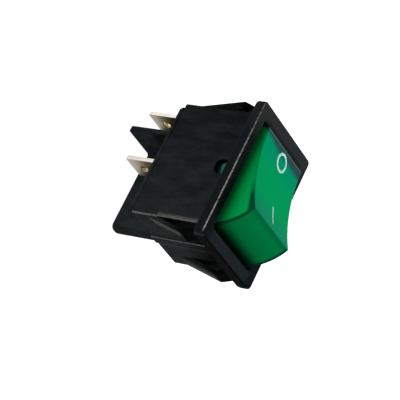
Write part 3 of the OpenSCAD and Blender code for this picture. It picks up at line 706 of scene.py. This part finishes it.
def wall_tone(tree, at, end_radius, on_end, on_side):
    """The walls in painted shade: ends darker than sides, deeper where the top plate and corners are seen
    edge on, dark at feet and far edges.
    """
    plate_low = add(tree, "MapRange", {"Value": on_end.outputs[0], "To Min": 5.9 * MM, "To Max": 6.7 * MM})
    plate_high = add(tree, "MapRange", {"Value": on_end.outputs[0], "To Min": 6.5 * MM, "To Max": 7.3 * MM})
    in_plate = add(tree, "MapRange", {"Value": at.outputs["Z"], "From Min": plate_low.outputs[0],
                                      "From Max": plate_high.outputs[0]})
    by_end = add(tree, "MapRange", {"Value": end_radius.outputs["Value"],
                                    "From Min": (ROCKER_RADIUS - 0.65) * MM,
                                    "From Max": (ROCKER_RADIUS - 0.4) * MM})
    by_side = add(tree, "Math", {0: by_end.outputs[0], 1: on_side.outputs[0]}, operation="MULTIPLY")
    near_tip = add(tree, "MapRange", {"Value": at.outputs["Y"], "From Min": -6 * MM, "From Max": -2 * MM,
                                      "To Min": 1.0, "To Max": 0.1})
    seen = add(tree, "MapRange", {"Value": on_end.outputs[0], "To Min": near_tip.outputs[0], "To Max": 0.6})
    plate = add(tree, "Math", {0: in_plate.outputs[0], 1: seen.outputs[0]}, operation="MULTIPLY")
    painted_edge_on_shade = add(tree, "Math", {0: plate.outputs[0], 1: by_side.outputs[0]}, operation="MAXIMUM")
    # The end faces are painted darker than the sides, as shade.
    wall = add(tree, "MixRGB", {"Fac": on_end.outputs[0], "Color1": linear("00c060"),
                                "Color2": linear("007b41")})
    edged = add(tree, "MixRGB", {"Fac": painted_edge_on_shade.outputs[0], "Color1": wall.outputs["Color"],
                                 "Color2": linear("005a38")})
    # Painted shade at the foot of each end face.
    foot = add(tree, "MapRange", {"Value": at.outputs["Z"], "From Min": 2.6 * MM, "From Max": 0})
    end_foot = add(tree, "Math", {0: foot.outputs[0], 1: on_end.outputs[0]}, operation="MULTIPLY")
    painted_foot_shade = add(tree, "MixRGB", {"Fac": end_foot.outputs[0], "Color1": edged.outputs["Color"],
                                  "Color2": linear("002216")})
    # Painted shade along each end face's far edge.
    far_edge = add(tree, "MapRange", {"Value": at.outputs["X"], "From Min": (ROCKER_WIDTH / 2 - 1.1) * MM,
                                      "From Max": (ROCKER_WIDTH / 2 - 0.6) * MM})
    painted_far_edge_shade = add(tree, "Math", {0: far_edge.outputs[0], 1: on_end.outputs[0]}, operation="MULTIPLY")
    walls = add(tree, "MixRGB", {"Fac": painted_far_edge_shade.outputs[0], "Color1": painted_foot_shade.outputs["Color"],
                                 "Color2": linear("00382a")})
    return walls.outputs["Color"]


def green_polycarbonate():
    """Green tinted polycarbonate from a polished mould, painted with the light and shade of a clear plastic
    over a dark inside.
    Painted shade deepens it where a wall is seen edge on, at the foot of each end face and along its far
    edge, and the off end of the top has a grey band of painted reflection and shade."""
    material, tree, place = started("green_polycarbonate")
    own = add(tree, "Mapping", {"Vector": place, "Location": (0, 0, PIVOT * MM),
                                "Rotation": (ROCKER_TILT, 0, 0)}, vector_type="TEXTURE")
    at = add(tree, "SeparateXYZ", {"Vector": own.outputs["Vector"]})
    about_pivot = add(tree, "VectorMath", {0: own.outputs["Vector"], 1: (0, 1, 1)}, operation="MULTIPLY")
    about_dish = add(tree, "VectorMath", {0: about_pivot.outputs["Vector"], 1: (0, 0, DISH_AXIS * MM)},
                     operation="SUBTRACT")
    end_radius = add(tree, "VectorMath", {0: about_pivot.outputs["Vector"]}, operation="LENGTH")
    dish_radius = add(tree, "VectorMath", {0: about_dish.outputs["Vector"]}, operation="LENGTH")
    across = add(tree, "Math", {0: at.outputs["X"]}, operation="ABSOLUTE")
    clouds = add(tree, "TexNoise", {"Vector": place, "Scale": 1 / (5 * MM), "Detail": 3.0})
    on_top = add(tree, "MapRange", {"Value": dish_radius.outputs["Value"],
                                    "From Min": (DISH_RADIUS + 0.16) * MM,
                                    "From Max": (DISH_RADIUS + 0.08) * MM})
    on_end = add(tree, "MapRange", {"Value": end_radius.outputs["Value"],
                                    "From Min": (ROCKER_RADIUS - 0.2) * MM,
                                    "From Max": (ROCKER_RADIUS - 0.1) * MM})
    on_side = add(tree, "MapRange", {"Value": across.outputs[0], "From Min": (ROCKER_WIDTH / 2 - 0.55) * MM,
                                     "From Max": (ROCKER_WIDTH / 2 - 0.25) * MM})
    top = top_tone(tree, at, clouds)
    walls = wall_tone(tree, at, end_radius, on_end, on_side)
    faces = add(tree, "MixRGB", {"Fac": on_top.outputs[0], "Color1": walls, "Color2": top})
    # The trunnions are painted dark as shade in their holes, with a painted highlight on their upper part.
    on_trunnion = add(tree, "Math", {0: across.outputs[0], 1: (ROCKER_WIDTH / 2 + 0.05) * MM},
                      operation="GREATER_THAN")
    painted_trunnion_light = add(tree, "MapRange", {"Value": at.outputs["Z"], "From Min": -0.75 * MM, "From Max": -0.4 * MM})
    trunnion = add(tree, "MixRGB", {"Fac": painted_trunnion_light.outputs[0], "Color1": linear("003c2a"),
                                    "Color2": linear("3f8a70")})
    colour = add(tree, "MixRGB", {"Fac": on_trunnion.outputs[0], "Color1": faces.outputs["Color"],
                                  "Color2": trunnion.outputs["Color"]})
    polish = add(tree, "MapRange", {"Value": clouds.outputs["Fac"], "To Min": 0.22, "To Max": 0.3})
    shader = add(tree, "BsdfPrincipled", {
        "Base Color": colour.outputs["Color"], "Roughness": polish.outputs["Result"], "IOR": 1.58,
        "Specular IOR Level": 0.004})
    add(tree, "OutputMaterial", {"Surface": shader.outputs["BSDF"]})
    return material


rocker_bm = dished_block(0, 0, ROCKER_SKIRT)
above_foot = [e for e in rocker_bm.edges if max(v.co.z for v in e.verts) > -ROCKER_SKIRT + ROCKER_EDGE]
rounded(rocker_bm, [e for e in above_foot if e.calc_face_angle() > SHARP_EDGE], ROCKER_EDGE,
        ROCKER_EDGE_STEPS)
hollow = dished_block(ROCKER_WALL, ROCKER_TOP, ROCKER_SKIRT + CUT_PAST)
rocker_bm = combined(rocker_bm, "DIFFERENCE", [hollow])
fittings = [drum(POST, POST_END, DISH_AXIS - DISH_RADIUS - ROCKER_TOP / 2, x=x) for x in (-POST_X, POST_X)]
trunnion_root = (ROCKER_WIDTH - ROCKER_WALL) / 2
fittings += [drum(TRUNNION, low, high, across=True)
             for low, high in ((-TRUNNION_END, -trunnion_root), (trunnion_root, TRUNNION_END))]
rocker_bm = combined(rocker_bm, "UNION", fittings)
bores = [drum(POST_BORE, POST_END - CUT_PAST, BORE_TOP, x=x) for x in (-POST_X, POST_X)]
rocker_bm = combined(rocker_bm, "DIFFERENCE", bores)
at_pivot = Matrix.Translation((0, 0, PIVOT)) @ Matrix.Rotation(ROCKER_TILT, 4, "X")
bmesh.ops.transform(rocker_bm, matrix=at_pivot, verts=rocker_bm.verts)
rocker = placed(rocker_bm, "rocker_moulding", "rocker", "rocker")
rocker.data.materials.append(green_polycarbonate())

# Rocker marks
# A white ring and a white bar, the signs for off and on, moulded as white inserts in the dished top.
# They stand a hair above the green, so their edges catch the light.
MARK_PROUD = 0.02
MARK_SUNK = 0.2
RING_PLACE = (0.2, 6.35)
RING_OUTER = 2.05
RING_INNER = 1.5
RING_NARROW = 0.94
RING_STEPS = 64
BAR_PLACE = (0.5, -5.6)
BAR_HALF = (0.18, 2.0)
BAR_CUTS = 11


def laid_on_dish(bm, place, name):
    """A flat mark, bent to the dish and set in the tilted rocker with its middle at a place."""
    bmesh.ops.translate(bm, vec=(*place, 0), verts=bm.verts)
    for vert in bm.verts:
        x, arc, height = vert.co
        radius = DISH_RADIUS - height
        vert.co = (x, radius * math.sin(arc / DISH_RADIUS), DISH_AXIS - radius * math.cos(arc / DISH_RADIUS))
    bmesh.ops.transform(bm, matrix=at_pivot, verts=bm.verts)
    bmesh.ops.recalc_face_normals(bm, faces=bm.faces)
    return placed(bm, name, "rocker")


def white_insert():
    """White polycarbonate, glossy, with a faint green tint."""
    material, tree, place = started("white_polycarbonate")
    cast = add(tree, "TexNoise", {"Vector": place, "Scale": 1 / (0.7 * MM), "Detail": 2.0})
    tone = add(tree, "ValToRGB", {"Fac": cast.outputs["Fac"]})
    tone.color_ramp.elements[0].position = 0.3
    tone.color_ramp.elements[0].color = linear("93c4bf")
    tone.color_ramp.elements[1].position = 0.7
    tone.color_ramp.elements[1].color = linear("b9dfda")
    gloss = add(tree, "MapRange", {"Value": cast.outputs["Fac"], "To Min": 0.25, "To Max": 0.4})
    shader = add(tree, "BsdfPrincipled", {
        "Base Color": tone.outputs["Color"], "Roughness": gloss.outputs["Result"], "IOR": 1.58,
        "Specular IOR Level": 0.2})
    add(tree, "OutputMaterial", {"Surface": shader.outputs["BSDF"]})
    return material


white = white_insert()
ring = bmesh.new()
section = [ring.verts.new((radius, 0, height)) for radius, height in (
    (RING_INNER, -MARK_SUNK), (RING_OUTER, -MARK_SUNK), (RING_OUTER, MARK_PROUD), (RING_INNER, MARK_PROUD))]
outlines = [ring.edges.new((a, b)) for a, b in zip(section, section[1:] + section[:1])]
bmesh.ops.spin(ring, geom=section + outlines, cent=(0, 0, 0), axis=(0, 0, 1), angle=2 * math.pi,
               steps=RING_STEPS, use_merge=True)
bmesh.ops.scale(ring, vec=(RING_NARROW, 1, 1), verts=ring.verts)
bar = block((-BAR_HALF[0], -BAR_HALF[1], -MARK_SUNK), (BAR_HALF[0], BAR_HALF[1], MARK_PROUD))
long_edges = [e for e in bar.edges if abs(e.verts[0].co.y - e.verts[1].co.y) > BAR_HALF[1]]
bmesh.ops.subdivide_edges(bar, edges=long_edges, cuts=BAR_CUTS)
for mark in (laid_on_dish(ring, RING_PLACE, "off_mark"), laid_on_dish(bar, BAR_PLACE, "on_mark")):
    mark.data.materials.append(white)

# Plungers and springs
# A plunger of natural nylon slides in each post of the rocker and is pressed on its blade by a coil spring.
# The springs are wound from drawn steel wire, and here keep one length as they ride on the rocker.
PLUNGER_TOP = -1.5
SPRING_WIRE = 0.3
SPRING_SIDES = 10
SPRING_MEAN = 1.7
SPRING_TURNS = 6
SPRING_STEPS = 24
SPRING_GAP = 0.05
SPRING_LOW = PLUNGER_TOP + SPRING_GAP
SPRING_HIGH = BORE_TOP - SPRING_GAP


def natural_nylon():
    """Undyed moulded nylon: cream, waxy, with faint clouds."""
    material, tree, place = started("natural_nylon")
    clouds = add(tree, "TexNoise", {"Vector": place, "Scale": 1 / (1.2 * MM), "Detail": 3.0})
    tone = add(tree, "ValToRGB", {"Fac": clouds.outputs["Fac"]})
    tone.color_ramp.elements[0].position = 0.3
    tone.color_ramp.elements[0].color = linear("ded6c0")
    tone.color_ramp.elements[1].position = 0.7
    tone.color_ramp.elements[1].color = linear("efe9d8")
    wax = add(tree, "MapRange", {"Value": clouds.outputs["Fac"], "To Min": 0.45, "To Max": 0.32})
    shader = add(tree, "BsdfPrincipled", {
        "Base Color": tone.outputs["Color"], "Roughness": wax.outputs["Result"], "IOR": 1.53,
        "Subsurface Weight": 0.2, "Subsurface Radius": (0.6 * MM, 0.5 * MM, 0.4 * MM),
        "Subsurface Scale": 1.0})
    add(tree, "OutputMaterial", {"Surface": shader.outputs["BSDF"]})
    return material


def wound_spring(pole, x):
    """A coil of round wire between a plunger and the blind end of its bore."""
    steps = SPRING_TURNS * SPRING_STEPS
    rise = (SPRING_HIGH - SPRING_LOW - SPRING_WIRE) / steps
    bm = bmesh.new()
    bmesh.ops.create_circle(bm, segments=SPRING_SIDES, radius=SPRING_WIRE / 2,
                            matrix=Matrix.Translation((SPRING_MEAN / 2, 0, SPRING_LOW + SPRING_WIRE / 2))
                            @ Matrix.Rotation(math.pi / 2, 4, "X"))
    bmesh.ops.spin(bm, geom=bm.verts[:] + bm.edges[:], cent=(0, 0, 0), axis=(0, 0, 1), dvec=(0, 0, rise),
                   angle=2 * math.pi * SPRING_TURNS, steps=steps)
    bmesh.ops.holes_fill(bm, edges=[e for e in bm.edges if e.is_boundary])
    bmesh.ops.recalc_face_normals(bm, faces=bm.faces)
    in_post = at_pivot @ Matrix.Translation((x, 0, 0))
    bmesh.ops.transform(bm, matrix=in_post, verts=bm.verts)
    spring = placed(bm, f"coil_spring_{pole}", "rocker", f"plunger_spring_{pole}")
    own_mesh(spring)
    return spring


cream = natural_nylon()
steel = worked_metal("spring_steel", "77777a", "a3a3a6", line=0.08, rough=0.4, polished=0.25)
for pole, x in (("left", -POST_X), ("right", POST_X)):
    frame["nodes"][f"plunger_{pole}"].material_slots[0].material = cream
    spring = wound_spring(pole, x)
    spring.data.materials.append(steel)

# Studio
# A pale floor that glows around the switch, a soft light overhead with a panel beside it, and a small spark.
# The camera stands at the photograph's angle, as far off as the photograph's perspective says.
FLOOR_RADIUS = 1.5
FLOOR_SIDES = 64
GLOW_FADES = (0.2, 0.4)
floor_bm = bmesh.new()
bmesh.ops.create_circle(floor_bm, cap_ends=True, segments=FLOOR_SIDES, radius=FLOOR_RADIUS,
                        matrix=Matrix.Translation((0, 0, cad_box[0][2])))
floor_mesh = bpy.data.meshes.new("floor")
floor_bm.to_mesh(floor_mesh)
floor_bm.free()
floor = bpy.data.objects.new("floor", floor_mesh)
bpy.context.scene.collection.objects.link(floor)
paper, tree, place = started("white_paper")
out = add(tree, "VectorMath", {0: place}, operation="LENGTH")
glow = add(tree, "MapRange", {"Value": out.outputs["Value"], "From Min": GLOW_FADES[0],
                              "From Max": GLOW_FADES[1], "To Min": 1.0, "To Max": 0.1})
card = add(tree, "BsdfPrincipled", {
    "Base Color": linear("969696"), "Roughness": 0.9, "Specular IOR Level": 0.1,
    "Emission Color": linear("ffffff"), "Emission Strength": glow.outputs["Result"]})
add(tree, "OutputMaterial", {"Surface": card.outputs["BSDF"]})
floor.data.materials.append(paper)

room = bpy.data.worlds.new("room")
room.use_nodes = True
room.node_tree.nodes["Background"].inputs["Color"].default_value = linear("ffffff")
room.node_tree.nodes["Background"].inputs["Strength"].default_value = 0.1
bpy.context.scene.world = room
bpy.context.scene.view_settings.view_transform = "Standard"


def softbox(name, towards, distance, size, watts):
    """A square area light in some direction from the switch, and facing it."""
    data = bpy.data.lights.new(name, "AREA")
    data.size = size
    data.energy = watts
    light = bpy.data.objects.new(name, data)
    bpy.context.scene.collection.objects.link(light)
    away = Vector(towards).normalized()
    light.location = away * distance
    light.rotation_euler = away.to_track_quat("Z", "Y").to_euler()
    return light


softbox("overhead", (0.3, 0.1, 0.95), distance=0.6, size=0.3, watts=3.5)
softbox("spark", (-0.73, 0.38, 0.57), distance=0.5, size=0.08, watts=0.06)
softbox("panel", (0.6, 0.3, 0.74), distance=0.5, size=0.2, watts=0.38)

VIEW_AZIMUTH = math.radians(-62.366)
VIEW_ELEVATION = math.radians(35.525)
VIEW_ROLL = math.radians(99.519)
VIEW_DISTANCE = 353.09 * MM
VIEW_TARGET = Vector((-3.320, -4.635, -7.341)) * MM
PHOTO_FOCAL = 1825.2
PHOTO_WIDTH = 400
SENSOR = 36
toward_camera = Vector((math.sin(VIEW_AZIMUTH) * math.cos(VIEW_ELEVATION),
                        -math.cos(VIEW_AZIMUTH) * math.cos(VIEW_ELEVATION), math.sin(VIEW_ELEVATION)))
camera_data = bpy.data.cameras.new("camera")
camera_data.sensor_width = SENSOR
camera_data.lens = SENSOR * PHOTO_FOCAL / PHOTO_WIDTH
camera = bpy.data.objects.new("camera", camera_data)
bpy.context.scene.collection.objects.link(camera)
turn = Matrix.Rotation(VIEW_AZIMUTH, 4, "Z") @ Matrix.Rotation(math.pi / 2 - VIEW_ELEVATION, 4, "X")
camera.matrix_world = (Matrix.Translation(VIEW_TARGET + toward_camera * VIEW_DISTANCE)
                       @ turn @ Matrix.Rotation(VIEW_ROLL, 4, "Z"))
bpy.context.scene.camera = camera
